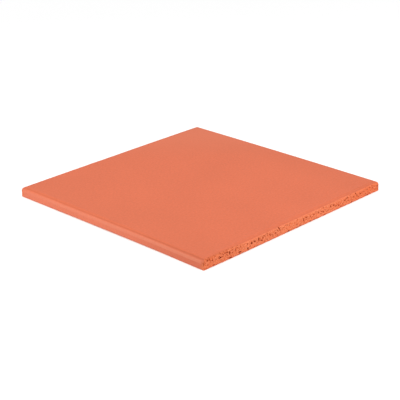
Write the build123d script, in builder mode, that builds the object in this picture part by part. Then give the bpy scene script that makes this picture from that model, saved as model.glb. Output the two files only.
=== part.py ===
"""Clinker floor tile: one solid of extruded, cut and fired clay, in millimetres.

The clay leaves the die as a ribbon along Y. The die shapes the section of the
ribbon: a flat wearing face, two sides with a round nosing, and dovetail grooves
that key the back into its bed of adhesive. Cutting the ribbon to length drags
the wearing face down, so both cut ends have a wider, shallower roll than the
sides. The origin is the middle of the back, and +Z points up out of the
wearing face.
"""

import os

from build123d import *

# Overall size
ribbon_width = 300.0  # across the ribbon, from side to side
cut_length = 300.0  # along the ribbon, from cut to cut
thickness = 12.5  # from the feet of the back ribs to the wearing face

# Sides, as the die shapes them
nosing_radius = 5.0  # round from the wearing face down into each side
side_foot_radius = 0.8  # arris between each side and the back

# Ends, as the cut leaves them
roll_run = 5.5  # how far in from the cut the wearing face starts to fall
roll_fall = 3.0  # how far it has fallen where it meets the cut
end_foot_radius = 0.6  # arris between each cut and the back

# Keyed back
groove_pitch = 12.0
groove_root_width = 6.4  # the widest part, inside the tile
groove_depth = 0.6
groove_flank_angle = 105.0  # at the mouth; over 90 degrees is an undercut
edge_land = 8.0  # least plain strip between a side and its nearest groove

# The grooves are paired about a rib that runs along the middle of the back.
half_room = ribbon_width / 2 - edge_land
grooves_per_half = int((half_room + (groove_pitch - groove_root_width) / 2) / groove_pitch)

with BuildPart() as tile:
    # The ribbon's section, pushed through the die along Y
    with BuildSketch(Plane.XZ) as die_section:
        Rectangle(ribbon_width, thickness, align=(Align.CENTER, Align.MIN))
        fillet(die_section.vertices().group_by(Axis.Y)[-1], nosing_radius)
        fillet(die_section.vertices().group_by(Axis.Y)[0], side_foot_radius)
        with GridLocations(groove_pitch, 0, 2 * grooves_per_half, 1):
            Trapezoid(
                groove_root_width,
                groove_depth,
                groove_flank_angle,
                align=(Align.CENTER, Align.MIN),
                mode=Mode.SUBTRACT,
            )
    extrude(amount=cut_length, both=True)

    # What the two cuts leave of the ribbon, seen from its side
    with BuildSketch(Plane.YZ) as cut_section:
        with BuildLine():
            half_length = cut_length / 2
            Line((-half_length, 0), (half_length, 0))
            wall = Line((half_length, 0), (half_length, thickness - roll_fall))
            roll = EllipticalCenterArc(
                (half_length - roll_run, thickness - roll_fall), roll_run, roll_fall
            )
            Line(roll @ 1, (roll_run - half_length, thickness))
            mirror([wall, roll], about=Plane.YZ)
        make_face()
        fillet(cut_section.vertices().group_by(Axis.Y)[0], end_foot_radius)
    extrude(amount=ribbon_width, both=True, mode=Mode.INTERSECT)

tile.part.label = "clinker_tile"

os.makedirs("parts", exist_ok=True)
export_step(tile.part, "parts/clinker_tile.step")
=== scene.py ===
"""The finish of a clinker floor tile, in metres, in the frame of its solid model.

The tile is one piece of fired clay. A tree of geometry nodes draws the ribbon's section along the
tile, rolls the wearing face down into both cuts, keys the back with dovetail grooves, and then tears
the cut ends as the wire tears soft clay. Three materials share one clay: the skin that the die
leaves, the torn clay of the cuts, and the back.
"""

import math

import bpy
from mathutils import Matrix, Vector


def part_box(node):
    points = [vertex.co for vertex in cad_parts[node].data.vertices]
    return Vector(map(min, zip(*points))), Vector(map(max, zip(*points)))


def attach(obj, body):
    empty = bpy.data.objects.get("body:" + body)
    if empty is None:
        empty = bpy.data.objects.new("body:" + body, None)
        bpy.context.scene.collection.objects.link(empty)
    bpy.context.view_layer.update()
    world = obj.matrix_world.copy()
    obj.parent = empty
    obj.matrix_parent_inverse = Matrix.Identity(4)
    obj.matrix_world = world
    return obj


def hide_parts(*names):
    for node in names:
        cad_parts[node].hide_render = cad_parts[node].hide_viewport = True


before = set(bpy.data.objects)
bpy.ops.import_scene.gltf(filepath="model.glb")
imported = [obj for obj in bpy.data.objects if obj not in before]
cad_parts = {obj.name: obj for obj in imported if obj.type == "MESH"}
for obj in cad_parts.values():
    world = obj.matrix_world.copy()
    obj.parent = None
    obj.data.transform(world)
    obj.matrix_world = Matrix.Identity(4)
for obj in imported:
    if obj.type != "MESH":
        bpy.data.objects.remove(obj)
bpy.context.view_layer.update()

MM = 0.001  # metres in a millimetre
QUARTER_TURN = math.pi / 2

# Overall size, from the frame
tile_low, tile_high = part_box("clinker_tile")
ribbon_width, cut_length, thickness = tile_high - tile_low
half_ribbon = ribbon_width / 2
half_length = cut_length / 2

# Section of the ribbon, as the die shapes it
nosing_radius = 5.0 * MM
side_foot_radius = 0.8 * MM
groove_pitch = 12.0 * MM
groove_root_width = 6.4 * MM
groove_depth = 0.6 * MM
groove_flank_lean = math.radians(15.0)
edge_land = 8.0 * MM
rib_arris = 0.12 * MM

# Ends, as the cut leaves them
roll_run = 5.5 * MM
roll_fall = 3.0 * MM
end_foot_radius = 0.6 * MM

# Faces of the mesh
pitch_columns = 32  # across one groove and one rib
root_columns = 8  # from the middle of a groove to its flank
land_columns = 16  # across the plain strip at each side
nosing_columns = 13
foot_columns = 3
roll_rows = 10
foot_rows = 3
flat_rows = 10  # along the flat of the wearing face
levels = 26  # up each side and each cut
crease_angle = math.radians(38.0)  # edges that turn by more stay sharp

groove_mouth_width = groove_root_width - 2 * groove_depth * math.tan(groove_flank_lean)
half_room = half_ribbon - edge_land
grooves_per_half = int((half_room + (groove_pitch - groove_root_width) / 2) / groove_pitch)
columns = 2 * (grooves_per_half * pitch_columns + land_columns)
rows = flat_rows + 2 * roll_rows

# Kiln: how far it lifts the middle of three edges off the floor
left_lift = 0.55 * MM
right_lift = 0.50 * MM
rear_lift = 0.35 * MM
lift_start = -0.4  # from here to the edge, in shares of half the tile

# Near left corner, where the wire came into the ribbon and pulled the soft clay along
pull_out = 1.2 * MM  # of the side, away from the tile
pull_in = 0.6 * MM  # of the cut, into the tile
pull_out_reach = 80.0 * MM
pull_in_reach = 45.0 * MM

# Upright corners, which have crumbled
corner_chip_depth = 0.12 * MM  # off the sides
corner_lump = 2.0 * MM
corner_lump_height = 1.5 * MM

# How far a crumbled corner reaches, in millimetres: along the side, up it, and in from its face
corner_reach_foot = 4.0
corner_reach_head = 2.4
corner_heights = (3.0, 9.0)
corner_ragged = 3.0
corner_softness = 0.9
corner_top = (8.5, 10.5)
corner_side = (0.4, 2.0)

# Relief of the cuts, in millimetres: depths, and the width and height of each kind of mark.
# Heights count up the cut and on over the roll.
wire_wander = 0.22
wander_size = (26.0, 30.0)
crumb_depth = 0.55
crumb_size = (1.1, 1.5)
tear_depth = 0.65
tear_size = (1.7, 2.8)
pore_size = (1.9, 2.2)
patch_size = (14.0, 9.0)
drag_depth = 0.14
drag_size = (0.9, 8.0)
chip_depth = 0.22
chip_spacing = 5.0
chip_heights = (0.5, 1.4)
rim_size = 0.9  # of the ragged bits round a listed mark
mark_lean = 0.2  # of crumbs, tears and pores, per millimetre of height

# Where the face is torn, in millimetres: up to a ragged line, with most of its pits in a band
torn_height = 11.8
torn_ragged = 3.2
torn_softness = 0.9
ragged_length = 4.0
pitted_foot = (3.0, 6.0)
pitted_head = 8.5
pitted_fade = 2.0
shaded_heights = (0.6, 2.4)
left_stretch = (25.0, 75.0)  # along the cut, where the two extra heights below run out
torn_height_left = 2.4
pitted_head_left = 2.0

# How many pits there are, and how wide they are in shares of a cell of the noise
pits_at_foot = 0.35
pits_above = 0.25
pits_between_patches = 0.4
pore_rarity = (0.85, 0.40)  # in plain clay, and where it is pitted
pore_radii = (0.22, 0.46)
chip_rarity = 0.4
chip_widths = (0.10, 0.32)
chip_bottom = 0.4  # of a chip's width is level

# How much painted shade each kind of mark gets, from none to one
plain_hollow = 0.35
crumb_hollow = 3.0
tear_hollow = 0.6
pore_hollows = (0.35, 0.85)
chip_hollow = 0.5
foot_hollow = 0.15
pit_hollow = 0.75
mark_hollow = 0.9  # per millimetre of depth

# Noise that the relief is read from
clay_seed = 7.0
cuts_apart = 40.0
layer_gap = 3.0
rim_layer = 3.0
patch_ramp = (0.36, 0.60)
tear_ramp = (0.55, 0.66)
rim_ramp = (0.60, 1.10)
rim_ragged = 0.8

# Marks that show most in the near cut, listed one by one: millimetres along it from the left side,
# height, half width, half height, lean to the right per millimetre of fall, and depth.
near_tears = [
    (0.6, 7.5, 1.6, 2.2, 0.0, 0.6),
    (4.0, 9.2, 1.4, 1.0, 0.2, 0.25),
    (10.3, 8.3, 0.8, 1.3, 0.4, 0.6),
    (13.2, 7.6, 0.8, 1.3, 0.4, 0.6),
    (25.0, 6.7, 1.6, 1.0, 0.3, 1.3),
    (35.0, 9.2, 1.0, 1.4, 0.2, 1.0),
    (38.8, 7.2, 1.0, 2.2, 0.0, 1.3),
    (47.0, 6.8, 0.6, 1.8, 0.0, 0.5),
    (54.5, 3.2, 2.8, 0.9, 0.2, 0.9),
    (67.0, 2.7, 1.0, 1.8, 0.2, 1.2),
    (73.0, 7.0, 1.1, 1.5, 0.3, 1.3),
    (78.0, 7.4, 1.1, 1.4, 0.2, 1.4),
    (84.0, 8.3, 0.9, 2.3, 0.0, 0.9),
    (89.4, 4.7, 1.1, 1.2, 0.4, 1.2),
    (91.4, 8.3, 1.1, 1.9, 0.0, 0.7),
    (102.5, 7.6, 0.9, 1.4, 0.0, 0.9),
    (107.5, 3.9, 0.7, 0.9, 0.2, 0.6),
    (112.2, 5.9, 0.8, 1.1, 0.3, 0.6),
    (117.6, 10.3, 0.9, 2.1, 0.35, 1.3),
    (119.3, 7.2, 0.7, 1.3, 0.35, 0.9),
    (160.0, 6.5, 0.9, 2.0, 0.0, 1.0),
    (164.8, 7.7, 1.6, 1.0, 0.0, 0.8),
    (195.0, 5.2, 1.2, 1.4, 0.2, 0.7),
    (208.4, 8.3, 1.0, 1.4, 0.2, 0.9),
    (214.0, 7.7, 1.1, 1.0, 0.3, 1.0),
    (218.0, 5.2, 0.8, 0.9, 0.2, 0.8),
    (222.6, 5.2, 0.9, 1.7, 0.5, 0.9),
    (235.0, 7.3, 1.8, 1.0, 0.3, 0.65),
    (239.0, 9.0, 1.5, 1.2, 0.0, 0.7),
    (251.0, 6.6, 2.0, 1.0, 0.0, 0.5),
    (254.6, 9.8, 0.9, 1.5, 0.2, 1.3),
    (263.0, 7.7, 1.2, 0.9, 0.3, 0.4),
    (282.3, 8.8, 1.0, 1.3, 0.1, 0.8),
    (288.0, 7.4, 1.2, 1.2, 0.0, 0.7),
    (297.5, 7.0, 1.2, 1.5, 0.0, 0.75),
]
near_foot_chips = [
    (15.0, 1.6, 1.5, 0.8, 0.0, 0.7),
    (39.5, 1.6, 1.6, 0.8, 0.0, 0.9),
    (53.5, 0.8, 1.3, 0.7, 0.0, 0.8),
    (134.0, 1.3, 1.4, 0.9, 0.2, 0.9),
    (149.0, 1.0, 1.2, 0.7, 0.0, 0.7),
    (154.0, 1.8, 1.4, 0.8, 0.0, 0.7),
    (172.0, 1.2, 1.2, 0.7, 0.0, 0.6),
    (228.0, 2.0, 1.4, 0.8, 0.0, 0.8),
    (247.5, 1.2, 1.4, 0.8, 0.0, 0.9),
    (278.0, 1.6, 1.4, 0.8, 0.0, 0.9),
]
near_roll_pits = [
    (5.0, 12.2, 0.8, 0.8, 0.3, 0.5),
    (8.5, 12.9, 0.7, 0.7, 0.3, 0.5),
    (12.5, 12.1, 0.9, 0.8, 0.3, 0.5),
    (16.5, 13.2, 0.7, 0.7, 0.3, 0.5),
    (20.0, 12.3, 0.8, 0.8, 0.3, 0.5),
    (25.0, 13.0, 0.8, 0.7, 0.3, 0.5),
    (30.0, 12.2, 0.8, 0.8, 0.3, 0.5),
    (35.5, 12.8, 0.8, 0.7, 0.3, 0.5),
    (43.0, 12.2, 0.8, 0.8, 0.3, 0.4),
    (52.0, 12.3, 0.8, 0.8, 0.3, 0.4),
]
near_marks = near_tears + near_foot_chips + near_roll_pits
mark_sizes = ("half_width", "half_height", "lean", "depth")

# The clay, as linear colours
skin_colour = (0.672, 0.151, 0.069)
# The sides' clay is paler than the wearing face, as painted sheen
side_sheen_colour = (0.652, 0.160, 0.080)
torn_colour = (0.66, 0.155, 0.057)
crest_highlight_colour = (0.72, 0.265, 0.150)
hollow_shade_colour = (0.27, 0.028, 0.003)
highlight_colour = (0.71, 0.224, 0.124)
painted_shade_colour = (0.48, 0.108, 0.048)
side_shade_colour = (0.47, 0.085, 0.036)
edge_dark_colour = (0.54, 0.133, 0.063)
corner_sheen_colour = (0.712, 0.190, 0.098)
end_shade_colour = (0.64, 0.118, 0.035)
iron_colour = (0.28, 0.07, 0.035)
back_colour = (0.58, 0.140, 0.070)
shelf_colour = (0.78, 0.36, 0.24)

# Grain of the clay: how large each kind is, and how much it changes the colour
cloud_size = 70.0 * MM
cloud_light = 0.10
mottle_size = 2.5 * MM
mottle_light = 0.18
grain_size = 0.8 * MM
grain_light = 0.25
tint_size = 2.2 * MM
tint_green = 0.14
tint_blue = 0.34
torn_grain_size = 0.55 * MM
speck_spacing = 2.6 * MM
speck_rarity = 0.9
speck_cores = (0.05, 0.11)  # smallest and largest, in shares of the spacing
speck_rims = (0.10, 0.20)

# How strongly painted highlight, sheen and shade, the darker edges and the shelf bloom show, from none to
# one
darker_edges = 0.20
corner_sheen = 0.50
front_shade_strength = 0.30
shaded_foot = 0.30
nosing_highlight_front = 0.50
nosing_highlight_rear = 0.30
nosing_line_front = 0.64
nosing_line_rear = 0.38
roll_highlight = 0.18
roll_line = 0.42
left_end_shade = 0.25
right_end_shade = 0.45
dark_roll_right = 0.25
crest_highlights = 0.7
shelf_bloom = 0.30

# Where those marks begin and end, from the middle of the tile, in shares of half its width or length
darker_edge_stretch = (0.44, 1.0)
corner_sheen_stretch = (0.7, 1.8)  # to the right and to the rear, added up
front_shade_stretch = (-1.0, 0.0)
nosing_highlight_stretch = (-1.0, 0.4)
nosing_line_stretch = (-1.0, 1.0)
nosing_rear_stretch = (0.5, 1.0)
nosing_highlight_left_over = 0.4  # of the painted highlight, at the end of that stretch
left_end_stretch = (-1.0, -0.6)
right_end_stretch = (0.3, 0.9)
roll_left_stretch = (-1.0, -0.4)
roll_right_stretch = (0.5, 1.0)
roll_highlight_left_over = 0.2

# How much painted shade clay has where it is painted pale on crests or dark in hollows, and how much its
# grain changes that
crest_ramp = (0.05, 0.40)
hollow_ramp = (0.42, 1.0)
crumb_shade = 0.25

# Painted highlight in bands down the edges and painted shade in a darker line above them, in millimetres
# below the wearing face
nosing_band = (1.9, 5.6)
roll_band = (1.4, 2.9)
band_above = 0.5
band_below = 0.7
band_softness = 0.4
line_head = (0.1, 0.6)
line_foot = (1.0, 1.6)
highlight_patch = 14.0 * MM
highlight_patch_height = 4.0 * MM
highlight_shares = (0.6, 1.4)  # least and most, from patch to patch
foot_shade_heights = (0.6 * MM, 2.0 * MM)

# Back, where it slid out of the die and lay on the kiln shelf: widths across, and lengths
die_line_width = 0.7 * MM
die_line_length = 60.0 * MM
shelf_patch_width = 18.0 * MM
shelf_patch_length = 30.0 * MM
shelf_ramp = (0.45, 0.75)

# Gloss, and the height of the bump
skin_roughness = 0.46
skin_grain_rougher = 0.10
skin_specular = 0.22
skin_bump = 0.05 * MM
roll_roughness = 0.62
nosing_smoother = 0.12
torn_rougher = 0.25
torn_grain_rougher = 0.08
torn_specular = 0.25
torn_bump = 0.18 * MM
back_roughness = 0.70
back_grain_rougher = 0.15
back_bump = 0.10 * MM


# Node trees written as formulas


class Field:
    """A socket that varies over the surface. Arithmetic on it adds Math nodes to its tree."""

    def __init__(self, wires, socket):
        self.wires = wires
        self.socket = socket

    def __add__(self, other):
        return self.wires.math("ADD", self, other)

    def __sub__(self, other):
        return self.wires.math("SUBTRACT", self, other)

    def __rsub__(self, other):
        return self.wires.math("SUBTRACT", other, self)

    def __neg__(self):
        return self.wires.math("SUBTRACT", 0.0, self)

    def __mul__(self, other):
        return self.wires.math("MULTIPLY", self, other)

    def __truediv__(self, other):
        return self.wires.math("DIVIDE", self, other)

    __radd__ = __add__
    __rmul__ = __mul__


def in_use(sockets, name):
    """The socket of that name that its node's settings leave in use."""
    return next(s for s in sockets if s.name == name and s.enabled)


class Wires:
    """Adds nodes to one tree and joins them up: each call makes a node and returns what it puts out."""

    def __init__(self, tree):
        self.tree = tree

    def feed(self, socket, value):
        """Links a field to a socket, or sets the socket to a plain value."""
        if isinstance(value, Field):
            self.tree.links.new(value.socket, socket)
        else:
            socket.default_value = value

    def node(self, kind, inputs, **settings):
        made = self.tree.nodes.new(kind)
        for name, value in settings.items():
            setattr(made, name, value)
        for name, value in inputs.items():
            self.feed(in_use(made.inputs, name), value)
        return made

    def out(self, made, name):
        return Field(self, in_use(made.outputs, name))

    def math(self, operation, *values):
        made = self.tree.nodes.new("ShaderNodeMath")
        made.operation = operation
        for socket, value in zip(made.inputs, values):
            self.feed(socket, value)
        return Field(self, made.outputs[0])

    def size(self, value):
        return self.math("ABSOLUTE", value)

    def sign(self, value):
        return self.math("SIGN", value)

    def root(self, value):
        return self.math("SQRT", value)

    def least(self, *values):
        found = values[0]
        for value in values[1:]:
            found = self.math("MINIMUM", found, value)
        return found

    def most(self, *values):
        found = values[0]
        for value in values[1:]:
            found = self.math("MAXIMUM", found, value)
        return found

    def over(self, value, limit):
        """One where value is over the limit, and none elsewhere."""
        return self.math("GREATER_THAN", value, limit)

    def share(self, value):
        """Keeps value between none and one."""
        return self.most(self.least(value, 1.0), 0.0)

    def choose(self, test, no, yes):
        return no + test * (yes - no)

    def rise(self, value, low, high, start=0.0, end=1.0):
        """Goes smoothly from start to end as value goes from low to high."""
        inputs = {"Value": value, "From Min": low, "From Max": high, "To Min": start, "To Max": end}
        return self.out(self.node("ShaderNodeMapRange", inputs, interpolation_type="SMOOTHSTEP"), "Result")

    def fade(self, value, low, high):
        """Goes smoothly from one to none as value goes from low to high."""
        return self.rise(value, low, high, 1.0, 0.0)

    def combine(self, x, y, z):
        return self.out(self.node("ShaderNodeCombineXYZ", {"X": x, "Y": y, "Z": z}), "Vector")

    def separate(self, vector):
        made = self.node("ShaderNodeSeparateXYZ", {"Vector": vector})
        return [self.out(made, name) for name in "XYZ"]

    def mix(self, kind, factor, no, yes):
        made = self.node("ShaderNodeMix", {"Factor": factor, "A": no, "B": yes}, data_type=kind)
        return self.out(made, "Result")

    def layer(self, share, under, over):
        """Lays one colour over another, by a share from none to one."""
        return self.mix("RGBA", share, under, over if isinstance(over, Field) else (*over, 1.0))

    def noise(self, vector, scale=1.0, detail=2.0, roughness=0.5):
        inputs = {"Vector": vector, "Scale": scale, "Detail": detail, "Roughness": roughness}
        return Field(self, self.node("ShaderNodeTexNoise", inputs).outputs[0])

    def cells(self, vector, scale=1.0):
        """Distance from the middle of a random cell, and three random numbers of that cell."""
        made = self.node("ShaderNodeTexVoronoi", {"Vector": vector, "Scale": scale})
        return self.out(made, "Distance"), self.separate(self.out(made, "Color"))

    def surface_place(self):
        """Where a point of a material's surface lies in the tile."""
        return self.out(self.node("ShaderNodeTexCoord", {}), "Object")

    def mesh_place(self):
        """Where a point of a geometry tree's mesh lies."""
        return self.out(self.node("GeometryNodeInputPosition", {}), "Position")

    def mesh_normal(self):
        return self.out(self.node("GeometryNodeInputNormal", {}), "Normal")

    def move(self, mesh, place):
        made = self.node("GeometryNodeSetPosition", {"Geometry": mesh, "Position": place})
        return self.out(made, "Geometry")

    def keep(self, mesh, name, value, kind, domain):
        """Stores a value on the mesh under a name."""
        inputs = {"Geometry": mesh, "Name": name, "Value": value}
        made = self.node("GeometryNodeStoreNamedAttribute", inputs, data_type=kind, domain=domain)
        return self.out(made, "Geometry")


def new_group(name, tree_kind, inputs, outputs):
    """An empty node group with named sockets, the wires to fill it, and its inputs by name."""
    group = bpy.data.node_groups.new(name, tree_kind)
    for way, sockets in (("INPUT", inputs), ("OUTPUT", outputs)):
        for socket_name, socket_type in sockets.items():
            group.interface.new_socket(socket_name, in_out=way, socket_type=socket_type)
    w = Wires(group)
    group_in = w.node("NodeGroupInput", {})
    return group, w, {socket_name: w.out(group_in, socket_name) for socket_name in inputs}


# Shape of the tile


def wearing_face(w, size, blank):
    """Where the upper skin of the blank goes: the wearing face, its two nosings and its two rolls."""
    flat_column = (size["Ribbon Width"] / 2 - size["Nosing Radius"]) / (size["Columns"] / 2 - nosing_columns)
    turn = w.share(blank["column in"] / nosing_columns) * QUARTER_TURN
    past = w.most(blank["column in"] - nosing_columns, 0.0)
    side_inset = size["Nosing Radius"] * (1 - w.math("COSINE", turn)) + past * flat_column
    side_fall = size["Nosing Radius"] * (1 - w.math("SINE", turn))

    turn = w.share(blank["row in"] / roll_rows) * QUARTER_TURN
    past = w.most(blank["row in"] - roll_rows, 0.0)
    end_inset = size["Roll Run"] * (1 - w.math("COSINE", turn)) + past * blank["flat row"]
    end_fall = size["Roll Fall"] * (1 - w.math("SINE", turn))

    blank["side walk"] = side_inset + size["Nosing Radius"] - side_fall
    blank["end walk"] = end_inset + size["Roll Fall"] - end_fall
    return w.combine(
        w.sign(blank["across"]) * (size["Ribbon Width"] / 2 - side_inset),
        w.sign(blank["along"]) * (size["Cut Length"] / 2 - end_inset),
        size["Thickness"] - w.most(side_fall, end_fall),
    )


def keyed_back(w, size, blank):
    """Where the lower skin of the blank goes: ribs, dovetail grooves and the small foot arrises."""
    out = size["Columns"] * w.size(blank["across"])
    keyed_columns = grooves_per_half * pitch_columns
    keyed_width = size["Groove Pitch"] * grooves_per_half
    pitches = w.math("FLOOR", out / pitch_columns)
    place = out - pitches * pitch_columns - pitch_columns / 2
    from_middle = w.size(place)

    # A groove's root, its flank and the rib beside it
    in_root = 1 - w.over(from_middle, root_columns + 0.5)
    root_offset = from_middle * size["Groove Root Width"] / (2 * root_columns)
    rib_columns = pitch_columns / 2 - root_columns - 1
    on_rib = from_middle - root_columns - 1
    half_mouth = size["Groove Mouth Width"] / 2
    rib_offset = half_mouth + on_rib / rib_columns * (size["Groove Pitch"] / 2 - half_mouth)
    offset = w.choose(in_root, rib_offset, root_offset)
    groove_x = (pitches + 0.5) * size["Groove Pitch"] + w.sign(place) * offset
    rib_round = rib_arris * w.share(1 - on_rib)
    groove_rise = w.choose(in_root, rib_round, size["Groove Depth"])

    # The plain land at each side, and its foot
    land_step = (size["Ribbon Width"] / 2 - keyed_width) / land_columns
    land_x = keyed_width + (out - keyed_columns) * land_step
    on_land = w.over(out, keyed_columns + 0.5)
    turn = w.share(blank["column in"] / foot_columns) * QUARTER_TURN
    foot_x = size["Ribbon Width"] / 2 - size["Side Foot Radius"] * (1 - w.math("COSINE", turn))
    foot_rise = size["Side Foot Radius"] * (1 - w.math("SINE", turn))
    on_foot = 1 - w.over(blank["column in"], foot_columns + 0.5)
    back_x = w.choose(on_foot, w.choose(on_land, groove_x, land_x), foot_x)

    # The foot of each cut
    turn = w.share(blank["row in"] / foot_rows) * QUARTER_TURN
    heel_inset = size["End Foot Radius"] * (1 - w.math("COSINE", turn))
    heel_rise = size["End Foot Radius"] * (1 - w.math("SINE", turn))
    to_roll = w.share((blank["row in"] - foot_rows) / (roll_rows - foot_rows))
    past = w.most(blank["row in"] - roll_rows, 0.0)
    heel_to_roll = size["Roll Run"] - size["End Foot Radius"]
    back_inset = heel_inset + to_roll * heel_to_roll + past * blank["flat row"]
    return w.combine(
        w.sign(blank["across"]) * back_x,
        w.sign(blank["along"]) * (size["Cut Length"] / 2 - back_inset),
        w.most(groove_rise * (1 - on_land), foot_rise, heel_rise),
    )


def placed_mark(w, size, run, height, on_near_cut):
    """How deep the nearest of the placed marks is at a point, and how much painted shade it gets there."""
    marks = w.node("GeometryNodeObjectInfo", {"Object": size["Near Marks"]})
    geometry = w.out(marks, "Geometry")
    nearest_inputs = {"Geometry": geometry, "Sample Position": w.combine(run, height, 0.0)}
    index = w.out(w.node("GeometryNodeSampleNearest", nearest_inputs, domain="POINT"), "Index")

    def of_mark(value, kind="FLOAT"):
        inputs = {"Geometry": geometry, "Value": value, "Index": index}
        return w.out(w.node("GeometryNodeSampleIndex", inputs, data_type=kind, domain="POINT"), "Value")

    def named(name):
        made = w.node("GeometryNodeInputNamedAttribute", {"Name": name}, data_type="FLOAT")
        return of_mark(w.out(made, "Attribute"))

    half_width, half_height, lean, full_depth = [named(name) for name in mark_sizes]
    mark_run, mark_height, unused = w.separate(of_mark(w.mesh_place(), "FLOAT_VECTOR"))
    fall = mark_height - height
    ragged = w.noise(w.combine(run / rim_size, height / rim_size, rim_layer), detail=2.0) - 0.5
    sideways = (run - mark_run - lean * fall) / half_width
    upright = fall / half_height
    reach = w.root(sideways * sideways + upright * upright) + ragged * rim_ragged
    depth = w.fade(reach, *rim_ramp) * on_near_cut * full_depth
    return depth, w.share(depth * mark_hollow)


def cut_relief(w, size):
    """At a point of a cut: the depth torn in, in millimetres, how much painted shade it gets, and how raw it
    is.
    """
    x, y, z = w.separate(w.mesh_place())
    inward = size["Cut Length"] / 2 - w.size(y)
    run = (x + size["Ribbon Width"] / 2) / MM
    height = (z + inward) / MM
    leaned = run + mark_lean * height
    on_near_cut = w.over(0.0, y)

    # Each kind of mark reads its own layer of the noise, and the two cuts lie far apart in it
    kinds = ("wander", "ragged", "patch", "crumb", "tear", "pore", "drag", "chip")
    first_layer = size["Seed"] + on_near_cut * cuts_apart
    layers = {kind: first_layer + step * layer_gap for step, kind in enumerate(kinds)}

    def spread(kind, along, mark_size):
        wide, high = mark_size
        return w.combine(along / wide, height / high, layers[kind])

    # The wire wanders a little on its way through the ribbon
    wander = w.noise(spread("wander", run, wander_size), detail=1.0) * 2 - 1

    # Below a ragged line under the roll the face is torn, most of all halfway up and in patches.
    # Towards the left side the tearing reaches higher and is denser.
    leftward = w.fade(run, *left_stretch)
    ragged = w.noise(w.combine(run / ragged_length, 0.0, layers["ragged"]), detail=2.0) - 0.5
    line = torn_height + torn_height_left * leftward + torn_ragged * ragged
    raw = w.fade(height, line - torn_softness, line + torn_softness)
    band_head = pitted_head + pitted_head_left * leftward
    band = w.rise(height, *pitted_foot, pits_at_foot, 1.0)
    band = band * w.rise(height, band_head, band_head + pitted_fade, 1.0, pits_above)
    patch = w.rise(w.noise(spread("patch", run, patch_size), detail=1.0), *patch_ramp)
    pitted = raw * band * w.choose(w.most(patch, leftward), pits_between_patches, 1.0)

    # Crumbs all over it, and tears and pores where it is pitted
    crumb = w.noise(spread("crumb", leaned, crumb_size), detail=3.0, roughness=0.65) - 0.5
    tear = w.rise(w.noise(spread("tear", leaned, tear_size), detail=2.0), *tear_ramp) * pitted
    distance, (chance, growth, unused) = w.cells(spread("pore", leaned, pore_size))
    radius = w.choose(growth, *pore_radii)
    pore = w.fade(distance, radius / 2, radius) * w.over(chance, w.choose(pitted, *pore_rarity)) * raw
    pore_look = w.choose(growth, *pore_hollows)

    # Drag lines of the wire, and chips along the foot
    drag = w.noise(spread("drag", run, drag_size), detail=2.0) * 2 - 1
    distance, (chance, growth, reach) = w.cells(w.combine(run / chip_spacing, layers["chip"], 0.0))
    chip_low, chip_high = chip_heights
    chip_width = w.choose(growth, *chip_widths)
    chip = w.fade(distance, chip_width * chip_bottom, chip_width)
    chip = chip * w.fade(height, chip_low + reach, chip_high + reach) * w.over(chance, chip_rarity)

    mark_depth, mark = placed_mark(w, size, run, height, on_near_cut)
    torn_depth = w.most(tear, pore) * size["Tear Depth"]
    pit_depth = w.most(torn_depth, mark_depth, chip * size["Chip Depth"])
    depth = (
        wander * size["Wire Wander"]
        + raw * crumb * size["Crumb Depth"] * 2
        + drag * size["Drag Depth"]
        + pit_depth
    )
    # Painted shade for each point: more in pits and crumbs, and at the foot of the cut
    pit = w.most(tear * tear_hollow, pore * pore_look, mark, chip * chip_hollow)
    foot = w.rise(height, *shaded_heights, foot_hollow, 0.0)
    hollow = plain_hollow + raw * crumb * crumb_hollow + pit * pit_hollow + foot
    return depth, w.share(hollow), raw


def corner_chip(w, size, x, y, z):
    """How far an upright corner has crumbled away below its roll, from none at all to one."""
    inward = (size["Cut Length"] / 2 - w.size(y)) / MM
    sideways = (size["Ribbon Width"] / 2 - w.size(x)) / MM
    lumps = w.noise(w.combine(x / corner_lump, y / corner_lump, z / corner_lump_height), detail=2.0)
    ragged = lumps * corner_ragged - corner_ragged / 2
    reach = w.rise(z / MM, *corner_heights, corner_reach_foot, corner_reach_head)
    near = w.fade(inward + ragged, reach - corner_softness, reach + corner_softness)
    return near * w.fade(sideways, *corner_side) * w.fade(z / MM + ragged, *corner_top)


def wire_pull(w, size, x, y):
    """How far the wire has pulled the near left corner: sideways out of the tile, and back into it."""
    from_side = x + size["Ribbon Width"] / 2
    from_cut = y + size["Cut Length"] / 2

    def near_corner(reach):
        return w.fade(from_cut, 0.0, reach) * w.fade(from_side, 0.0, reach)

    return near_corner(pull_out_reach) * size["Pull Out"], near_corner(pull_in_reach) * size["Pull In"]


def kiln_lift(w, size, x, y):
    """How far the kiln has lifted a point: an edge arches between its corners, less so further in."""
    across = x * 2 / size["Ribbon Width"]
    along = y * 2 / size["Cut Length"]
    edges = (
        ("Left Lift", -across, along),
        ("Right Lift", across, along),
        ("Rear Lift", along, across),
    )
    lift = 0.0
    for name, outward, beside in edges:
        lift = size[name] * w.rise(outward, lift_start, 1.0) * (1 - beside * beside) + lift
    return lift


def block_sides(w):
    """Which face of the block a face belongs to, as a mask for each side."""
    face_normal = w.node("GeometryNodeFieldOnDomain", {"Value": w.mesh_normal()},
                         data_type="FLOAT_VECTOR", domain="FACE")
    way_x, way_y, way_z = w.separate(w.out(face_normal, "Value"))
    ways = {"top": way_z, "back": -way_z, "front": -way_y, "rear": way_y, "left": -way_x, "right": way_x}
    return {name: w.over(way, 0.5) for name, way in ways.items()}


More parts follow.
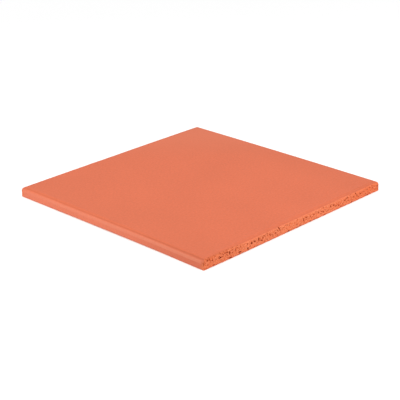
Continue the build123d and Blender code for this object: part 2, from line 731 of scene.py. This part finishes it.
def tile_map(w, size, blank, sides):
    """Flat layout of the six faces, one rectangle each, for colours that are kept with the mesh."""
    across = 0.5 + 0.5 * w.sign(blank["across"]) * (
        1 - blank["side walk"] / (size["Ribbon Width"] / 2 + size["Nosing Radius"])
    )
    along = 0.5 + 0.5 * w.sign(blank["along"]) * (
        1 - blank["end walk"] / (size["Cut Length"] / 2 + size["Roll Fall"])
    )
    plain_across = blank["across"] + 0.5
    strip_length = 0.98
    strip_height = 0.06
    margin = 0.01
    face_side = 0.66
    back_side = 0.30
    charts = {
        "top": (across, along, margin, margin, face_side, face_side),
        "back": (1 - plain_across, along, face_side + 2 * margin, margin, back_side, back_side),
    }
    for number, name in enumerate(("front", "rear", "left", "right")):
        level_up = face_side + 2 * margin + number * (strip_height + margin)
        along_strip = plain_across if name in ("front", "rear") else along
        charts[name] = (along_strip, blank["level"], margin, level_up, strip_length, strip_height)
    u = 0.0
    v = 0.0
    for name, (s, t, left, bottom, wide, high) in charts.items():
        u = sides[name] * (left + wide * s) + u
        v = sides[name] * (bottom + high * t) + v
    return w.combine(u, v, 0.0)


def worked_clay(w, size):
    """Where a point of the drawn and cut tile ends up, and the masks that the materials read there."""
    depth, hollow, raw = cut_relief(w, size)
    unused, normal_y, normal_z = w.separate(w.mesh_normal())
    x, y, z = w.separate(w.mesh_place())

    # The relief goes in along the surface, and never out past the cut
    over_zero = 0.001
    facing = w.rise(w.size(normal_y), 0.08, 0.5)
    into = depth * facing * MM / w.root(normal_y * normal_y + normal_z * normal_z + over_zero)
    limit = size["Cut Length"] / 2 - w.most(depth, 0.0) * MM
    torn_y = w.least(w.size(y - normal_y * into), w.choose(w.over(w.size(normal_z), 0.5), limit, w.size(y)))
    torn_z = w.most(z - normal_z * into, 0.0)

    crumbled = corner_chip(w, size, x, y, z)
    chipped_x = x - w.sign(x) * crumbled * size["Corner Chip"]
    out, back = wire_pull(w, size, x, y)
    lift = kiln_lift(w, size, x, y)
    place = w.combine(chipped_x - out, w.sign(y) * torn_y + back, torn_z + lift)
    return place, {"hollow": hollow, "raw": w.most(raw * facing, crumbled)}


def socket_kind(value):
    """The kind of socket that takes a value."""
    kinds = {
        int: "NodeSocketInt",
        float: "NodeSocketFloat",
        bpy.types.Object: "NodeSocketObject",
        bpy.types.Material: "NodeSocketMaterial",
    }
    return kinds[type(value)]


def tile_tree(values):
    """The tree that makes the whole tile. Its inputs are named after what they set."""
    inputs = {name: socket_kind(value) for name, value in values.items()}
    outputs = {"Geometry": "NodeSocketGeometry"}
    tree, w, size = new_group("Extruded tile", "GeometryNodeTree", inputs, outputs)

    # A block of faces, counted in columns, rows and levels
    counts = {
        "Vertices X": size["Columns"] + 1,
        "Vertices Y": size["Rows"] + 1,
        "Vertices Z": size["Levels"] + 1,
    }
    mesh = w.out(w.node("GeometryNodeMeshCube", counts), "Mesh")
    across, along, up = w.separate(w.mesh_place())
    blank = {
        "across": across,
        "along": along,
        "level": up + 0.5,
        "column in": size["Columns"] * (0.5 - w.size(across)),
        "row in": size["Rows"] * (0.5 - w.size(along)),
        "flat row": (size["Cut Length"] / 2 - size["Roll Run"]) / (size["Rows"] / 2 - roll_rows),
    }
    face_place = wearing_face(w, size, blank)
    back_place = keyed_back(w, size, blank)

    # What is worked out on the block and kept with its faces
    sides = block_sides(w)
    mesh = w.keep(mesh, "OFBake", tile_map(w, size, blank, sides), "FLOAT2", "CORNER")
    beside_cut = w.most(
        sides["front"],
        sides["rear"],
        sides["top"] * w.over(roll_rows, blank["row in"]),
        sides["back"] * w.over(foot_rows, blank["row in"]),
    )
    catch = tree.nodes.new("GeometryNodeCaptureAttribute")
    catch.domain = "FACE"
    for name, value in (("Cut", beside_cut), ("Back", sides["back"])):
        catch.capture_items.new("FLOAT", name)
        w.feed(in_use(catch.inputs, name), value)
    w.feed(in_use(catch.inputs, "Geometry"), mesh)
    mesh = w.out(catch, "Geometry")

    # The drawn and cut tile, still without relief
    mesh = w.move(mesh, w.mix("VECTOR", blank["level"], back_place, face_place))
    turn = w.out(w.node("GeometryNodeInputMeshEdgeAngle", {}), "Unsigned Angle")
    smooth_inputs = {"Geometry": mesh, "Selection": w.over(turn, crease_angle), "Shade Smooth": False}
    mesh = w.out(w.node("GeometryNodeSetShadeSmooth", smooth_inputs, domain="EDGE"), "Geometry")

    # Relief of the cuts, the kiln's slight warp, and masks for the materials
    place, masks = worked_clay(w, size)
    for name, value in masks.items():
        mesh = w.keep(mesh, name, value, "FLOAT", "POINT")
    mesh = w.move(mesh, place)

    mesh = w.out(w.node("GeometryNodeRealizeInstances", {"Geometry": mesh}), "Geometry")
    finishes = {"Skin": True, "Back Skin": w.out(catch, "Back"), "Cut Clay": w.out(catch, "Cut")}
    for name, where in finishes.items():
        material_inputs = {"Geometry": mesh, "Material": size[name], "Selection": where}
        mesh = w.out(w.node("GeometryNodeSetMaterial", material_inputs), "Geometry")
    w.node("NodeGroupOutput", {"Geometry": mesh})
    return tree


def mark_points():
    """A point for each listed mark: run along the cut, height, and its sizes."""
    mesh = bpy.data.meshes.new("near_marks")
    mesh.from_pydata([(run, height, 0.0) for run, height, *sizes in near_marks], [], [])
    for column, name in enumerate(mark_sizes, start=2):
        attribute = mesh.attributes.new(name, "FLOAT", "POINT")
        attribute.data.foreach_set("value", [mark[column] for mark in near_marks])
    points = bpy.data.objects.new("near_marks", mesh)
    bpy.context.scene.collection.objects.link(points)
    return points


def make_tile(skin, cut_clay, back_skin):
    """Runs the tree once and keeps its result as a plain mesh."""
    marks = mark_points()
    values = {
        "Ribbon Width": ribbon_width,
        "Cut Length": cut_length,
        "Thickness": thickness,
        "Nosing Radius": nosing_radius,
        "Side Foot Radius": side_foot_radius,
        "Roll Run": roll_run,
        "Roll Fall": roll_fall,
        "End Foot Radius": end_foot_radius,
        "Groove Pitch": groove_pitch,
        "Groove Root Width": groove_root_width,
        "Groove Mouth Width": groove_mouth_width,
        "Groove Depth": groove_depth,
        "Columns": columns,
        "Rows": rows,
        "Levels": levels,
        "Left Lift": left_lift,
        "Right Lift": right_lift,
        "Rear Lift": rear_lift,
        "Pull Out": pull_out,
        "Pull In": pull_in,
        "Wire Wander": wire_wander,
        "Crumb Depth": crumb_depth,
        "Tear Depth": tear_depth,
        "Drag Depth": drag_depth,
        "Chip Depth": chip_depth,
        "Corner Chip": corner_chip_depth,
        "Seed": clay_seed,
        "Near Marks": marks,
        "Skin": skin,
        "Cut Clay": cut_clay,
        "Back Skin": back_skin,
    }
    tree = tile_tree(values)
    tile = bpy.data.objects.new("fired_tile", bpy.data.meshes.new("fired_tile"))
    bpy.context.scene.collection.objects.link(tile)
    modifier = tile.modifiers.new("Extruded tile", "NODES")
    modifier.node_group = tree
    for socket in tree.interface.items_tree:
        if socket.in_out == "INPUT":
            modifier[socket.identifier] = values[socket.name]
    evaluated = tile.evaluated_get(bpy.context.evaluated_depsgraph_get())
    mesh = bpy.data.meshes.new_from_object(evaluated)
    tile.modifiers.remove(modifier)
    tile.data = mesh
    mesh.name = "fired_tile"
    bpy.data.objects.remove(marks)
    return tile


# Materials


def clay_group():
    """Clay as it shows anywhere on the tile: clouds, mottling, fine grain and a few specks of iron."""
    inputs = {"Clay": "NodeSocketColor", "Mottle": "NodeSocketFloat", "Speck": "NodeSocketFloat"}
    outputs = {"Colour": "NodeSocketColor", "Grain": "NodeSocketFloat"}
    group, w, given = new_group("Clay body", "ShaderNodeTree", inputs, outputs)
    place = w.surface_place()
    cloud = w.noise(place, 1 / cloud_size, detail=2.0) - 0.5
    mottle = w.noise(place, 1 / mottle_size, detail=2.0) - 0.5
    tint = w.noise(place, 1 / tint_size, detail=2.0) - 0.5
    grain = w.noise(place, 1 / grain_size, detail=3.0, roughness=0.6)

    # The tint shifts green a little and blue more, so that the clay turns warmer and cooler
    strength = given["Mottle"]
    light = 1 + strength * (cloud_light * cloud + mottle_light * mottle + grain_light * (grain - 0.5))
    warmth = w.combine(light, light + strength * tint_green * tint, light + strength * tint_blue * tint)
    body = w.node("ShaderNodeVectorMath", {}, operation="MULTIPLY")
    w.feed(body.inputs[0], given["Clay"])
    w.feed(body.inputs[1], warmth)

    distance, (chance, growth, unused) = w.cells(place, 1 / speck_spacing)
    speck = w.fade(distance, w.choose(growth, *speck_cores), w.choose(growth, *speck_rims))
    speck = speck * w.over(chance, speck_rarity)
    coloured = w.layer(speck * given["Speck"], w.out(body, "Vector"), iron_colour)
    w.node("NodeGroupOutput", {"Colour": coloured, "Grain": grain})
    return group


def arris_group():
    """How an edge of the wearing face shows: a painted highlight in a pale band down its round, and painted
    shade in a darker line above.
    """
    inputs = {"Clay": "NodeSocketColor"}
    for name in ("Highlight", "Head", "Foot", "Line"):
        inputs[name] = "NodeSocketFloat"
    group, w, given = new_group("Painted arris light", "ShaderNodeTree", inputs, {"Colour": "NodeSocketColor"})
    x, y, z = w.separate(w.surface_place())
    depth = (thickness - z) / MM
    head = given["Head"]
    foot = given["Foot"]
    patchy = w.noise(w.combine(x / highlight_patch, y / highlight_patch, z / highlight_patch_height), detail=2.0)
    band = w.rise(depth, head - band_above, head + band_below)
    band = band * w.fade(depth, foot - band_softness, foot + band_softness)
    painted_highlight = band * given["Highlight"] * w.choose(patchy, *highlight_shares)
    line = w.rise(depth, *line_head) * w.fade(depth, *line_foot) * given["Line"]
    colour = w.layer(painted_highlight, given["Clay"], highlight_colour)
    colour = w.layer(line, colour, painted_shade_colour)
    w.node("NodeGroupOutput", {"Colour": colour})
    return group


def new_material(name):
    """A material with a Principled BSDF on its own, and the wires to feed it."""
    material = bpy.data.materials.new(name)
    material.use_nodes = True
    tree = material.node_tree
    tree.nodes.clear()
    shader = tree.nodes.new("ShaderNodeBsdfPrincipled")
    output = tree.nodes.new("ShaderNodeOutputMaterial")
    tree.links.new(shader.outputs["BSDF"], output.inputs["Surface"])
    return material, Wires(tree), shader


def clay_body(w, clay, colour, mottle, speck):
    """Clay of one colour, and its grain."""
    inputs = {"Clay": (*colour, 1.0), "Mottle": mottle, "Speck": speck}
    made = w.node("ShaderNodeGroup", inputs, node_tree=clay)
    return w.out(made, "Colour"), w.out(made, "Grain")


def paint_arris_light(w, arris, colour, highlight, band, line):
    """Paints a highlight on an edge of the wearing face in a band below it, and paints shade on the line
    above the band.
    """
    head, foot = band
    inputs = {"Clay": colour, "Highlight": highlight, "Head": head, "Foot": foot, "Line": line}
    return w.out(w.node("ShaderNodeGroup", inputs, node_tree=arris), "Colour")


def stretch(half, shares):
    """Where a stretch begins and ends, worked out from its shares of half the tile."""
    return [share * half for share in shares]


def mask(w, name):
    """A value that the mesh keeps at each of its points."""
    return w.out(w.node("ShaderNodeAttribute", {}, attribute_name=name), "Fac")


def bump(w, height, distance, strength):
    inputs = {"Height": height, "Distance": distance, "Strength": strength}
    return w.out(w.node("ShaderNodeBump", inputs), "Normal")


def torn_clay(w, clay):
    """The colour of clay that the wire has torn open."""
    colour, unused = clay_body(w, clay, torn_colour, mottle=1.6, speck=0.8)
    return colour


def skin_finish(w, clay, arris):
    """The dense skin that the die leaves: its colour, its grain, and where it turns over a nosing."""
    colour, grain = clay_body(w, clay, skin_colour, mottle=1.2, speck=0.25)
    side, unused = clay_body(w, clay, side_sheen_colour, mottle=1.2, speck=0.25)
    x, y, z = w.separate(w.surface_place())
    out = w.size(x)

    # The wearing face is a little darker along both sides, and paler at its far right corner as painted
    # sheen
    darker_edge = w.rise(out, *stretch(half_ribbon, darker_edge_stretch), 0.0, darker_edges)
    colour = w.layer(darker_edge, colour, edge_dark_colour)
    bloom_and_sheen = w.rise(x + y, *stretch(half_ribbon, corner_sheen_stretch), 0.0, corner_sheen)
    colour = w.layer(bloom_and_sheen, colour, corner_sheen_colour)

    # Painted shade darkens both sides towards the front and at their foot, under a nosing with a painted
    # highlight
    front_shade = w.rise(y, *stretch(half_length, front_shade_stretch), front_shade_strength, 0.0)
    foot_shade = w.rise(z, *foot_shade_heights, shaded_foot, 0.0)
    side = w.layer(w.most(front_shade, foot_shade), side, side_shade_colour)
    beside = w.rise(out, half_ribbon - 0.4 * nosing_radius, half_ribbon)
    colour = w.layer(beside, colour, side)
    on_nosing = w.rise(out, half_ribbon - nosing_radius, half_ribbon - 0.75 * nosing_radius)
    highlight = w.rise(y, *stretch(half_length, nosing_highlight_stretch), nosing_highlight_front, nosing_highlight_rear)
    highlight = highlight * on_nosing
    highlight = highlight * w.rise(y, *stretch(half_length, nosing_rear_stretch), 1.0, nosing_highlight_left_over)
    highlight = highlight * w.rise(half_length - w.size(y), 0.5 * roll_run, 1.2 * roll_run)
    line = w.rise(y, *stretch(half_length, nosing_line_stretch), nosing_line_front, nosing_line_rear)
    return paint_arris_light(w, arris, colour, highlight, nosing_band, line * on_nosing), grain, on_nosing


def skin_material(clay, arris):
    """The wearing face and the two sides."""
    material, w, shader = new_material("fired_skin")
    skin, grain, unused = skin_finish(w, clay, arris)
    w.feed(shader.inputs["Base Color"], w.layer(mask(w, "raw"), skin, torn_clay(w, clay)))
    w.feed(shader.inputs["Roughness"], skin_roughness + skin_grain_rougher * grain)
    shader.inputs["Specular IOR Level"].default_value = skin_specular
    w.feed(shader.inputs["Normal"], bump(w, grain, distance=skin_bump, strength=0.4))
    return material


def cut_material(clay, arris):
    """The cut ends: skin on the roll, raw clay below it, pale grains with painted highlight on its crests
    and painted shade in its hollows.
    """
    material, w, shader = new_material("cut_clay")
    skin, skin_grain, on_nosing = skin_finish(w, clay, arris)
    torn = torn_clay(w, clay)
    place = w.surface_place()
    x, y, z = w.separate(place)
    crumb = w.noise(place, 1 / torn_grain_size, detail=3.0, roughness=0.65)
    hollow = mask(w, "hollow") + crumb_shade * (crumb - 0.5)
    raw = mask(w, "raw")
    # Crests are painted pale: paler grains, and partly a painted highlight
    torn = w.layer(w.fade(hollow, *crest_ramp) * crest_highlights, torn, crest_highlight_colour)

    # Painted shade darkens both ends of the cut and the right end of the roll; a painted highlight along the
    # roll is palest in the middle
    on_roll = 1 - on_nosing
    left_end = w.fade(x, *stretch(half_ribbon, left_end_stretch))
    right_end = w.rise(x, *stretch(half_ribbon, right_end_stretch))
    skin = w.layer(dark_roll_right * right_end * on_roll, skin, painted_shade_colour)
    torn = w.layer(right_end_shade * right_end + left_end_shade * left_end, torn, end_shade_colour)
    highlight = w.rise(x, *stretch(half_ribbon, roll_left_stretch), 0.0, roll_highlight) * on_roll
    highlight = highlight * w.rise(x, *stretch(half_ribbon, roll_right_stretch), 1.0, roll_highlight_left_over)
    colour = paint_arris_light(w, arris, w.layer(raw, skin, torn), highlight, roll_band, roll_line * on_roll)
    # Hollows are painted dark: painted shade, and partly the darker clay inside them
    colour = w.layer(w.rise(hollow, *hollow_ramp) * w.most(raw, on_roll), colour, hollow_shade_colour)

    w.feed(shader.inputs["Base Color"], colour)
    roughness = roll_roughness - nosing_smoother * on_nosing
    roughness = roughness + torn_rougher * raw + torn_grain_rougher * crumb
    w.feed(shader.inputs["Roughness"], roughness)
    shader.inputs["Specular IOR Level"].default_value = torn_specular
    height = w.choose(raw, skin_grain * 0.3, crumb)
    w.feed(shader.inputs["Normal"], bump(w, height, distance=torn_bump, strength=0.6))
    return material


def back_material(clay):
    """The back: drag lines of the die along the ribs, and a dry bloom from the kiln shelf."""
    material, w, shader = new_material("keyed_back")
    colour, grain = clay_body(w, clay, back_colour, mottle=1.2, speck=0.6)
    x, y, z = w.separate(w.surface_place())
    die_lines = w.noise(w.combine(x / die_line_width, y / die_line_length, z / MM), detail=2.0)
    bloom_and_sheen = w.noise(w.combine(x / shelf_patch_width, y / shelf_patch_length, 0.0), detail=3.0)
    colour = w.layer(shelf_bloom * w.rise(bloom_and_sheen, *shelf_ramp), colour, shelf_colour)
    w.feed(shader.inputs["Base Color"], colour)
    w.feed(shader.inputs["Roughness"], back_roughness + back_grain_rougher * grain)
    height = 0.6 * die_lines + 0.4 * grain
    w.feed(shader.inputs["Normal"], bump(w, height, distance=back_bump, strength=0.5))
    return material


# Stage


def make_floor():
    """A pale floor under the rib feet. It glows a little, more so far out, where the lamps fall off."""
    half = 4.0
    near_tile = 0.7
    far_out = 2.3
    near_glow = 0.26
    far_glow = 0.64
    mesh = bpy.data.meshes.new("pale_floor")
    corners = [(-half, -half), (half, -half), (half, half), (-half, half)]
    mesh.from_pydata([(x, y, tile_low.z) for x, y in corners], [], [(0, 1, 2, 3)])
    floor = bpy.data.objects.new("pale_floor", mesh)
    bpy.context.scene.collection.objects.link(floor)
    material, w, shader = new_material("pale_floor")
    shader.inputs["Base Color"].default_value = (0.80, 0.80, 0.80, 1.0)
    shader.inputs["Roughness"].default_value = 0.9
    shader.inputs["Specular IOR Level"].default_value = 0.1
    shader.inputs["Emission Color"].default_value = (1.0, 1.0, 1.0, 1.0)
    x, y, z = w.separate(w.surface_place())
    away = w.root(x * x + y * y)
    w.feed(shader.inputs["Emission Strength"], w.rise(away, near_tile, far_out, near_glow, far_glow))
    mesh.materials.append(material)


def soft_box(name, place, aim, width, height, power, spread=180.0):
    """A soft box that faces a point of the tile. Its spread is the full angle of its beam, in degrees."""
    lamp = bpy.data.lights.new(name, "AREA")
    lamp.shape = "RECTANGLE"
    lamp.size = width
    lamp.size_y = height
    lamp.energy = power
    lamp.spread = math.radians(spread)
    holder = bpy.data.objects.new(name, lamp)
    holder.location = place
    holder.rotation_mode = "QUATERNION"
    holder.rotation_quaternion = (Vector(aim) - Vector(place)).to_track_quat("-Z", "Y")
    holder.visible_camera = False
    bpy.context.scene.collection.objects.link(holder)


def make_lights():
    """A white room with a panel overhead, a faint beam along the smooth side and a lamp on the near cut."""
    room_light = 0.52
    world = bpy.data.worlds.new("white_room")
    world.use_nodes = True
    background = world.node_tree.nodes["Background"]
    background.inputs["Color"].default_value = (1.0, 1.0, 1.0, 1.0)
    background.inputs["Strength"].default_value = room_light
    bpy.context.scene.world = world
    middle = (0.0, 0.0, 0.0)
    left_side = (-ribbon_width / 2, 0.07, 0.0)
    soft_box("overhead_panel", (-0.35, -0.25, 2.0), middle, width=1.6, height=1.6, power=29.0)
    soft_box("left_soft_box", (-0.95, 0.50, 0.20), left_side, width=0.4, height=0.2, power=0.17, spread=38.0)
    soft_box("right_soft_box", (0.45, -1.15, 0.22), middle, width=0.6, height=0.36, power=5.9)
    bpy.context.scene.view_settings.view_transform = "Standard"


def make_camera():
    """A camera where the photograph was taken from, aimed at the point in the middle of the picture."""
    distance = 1424.7 * MM
    azimuth = math.radians(-45.92)
    elevation = math.radians(22.41)
    roll = math.radians(-0.64)
    aim = Vector((-36.7 * MM, -34.4 * MM, thickness))
    back = Vector((
        math.sin(azimuth) * math.cos(elevation),
        -math.cos(azimuth) * math.cos(elevation),
        math.sin(elevation),
    ))
    lens = bpy.data.cameras.new("photo_view")
    lens.sensor_width = 36.0
    lens.lens = 111.58
    camera = bpy.data.objects.new("photo_view", lens)
    turn = (-back).to_track_quat("-Z", "Y").to_matrix() @ Matrix.Rotation(roll, 3, "Z")
    camera.matrix_world = Matrix.Translation(aim + back * distance) @ turn.to_4x4()
    bpy.context.scene.collection.objects.link(camera)
    bpy.context.scene.camera = camera


make_camera()
make_lights()
make_floor()

clay = clay_group()
arris = arris_group()
tile = make_tile(skin_material(clay, arris), cut_material(clay, arris), back_material(clay))
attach(tile, "root")
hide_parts("clinker_tile")
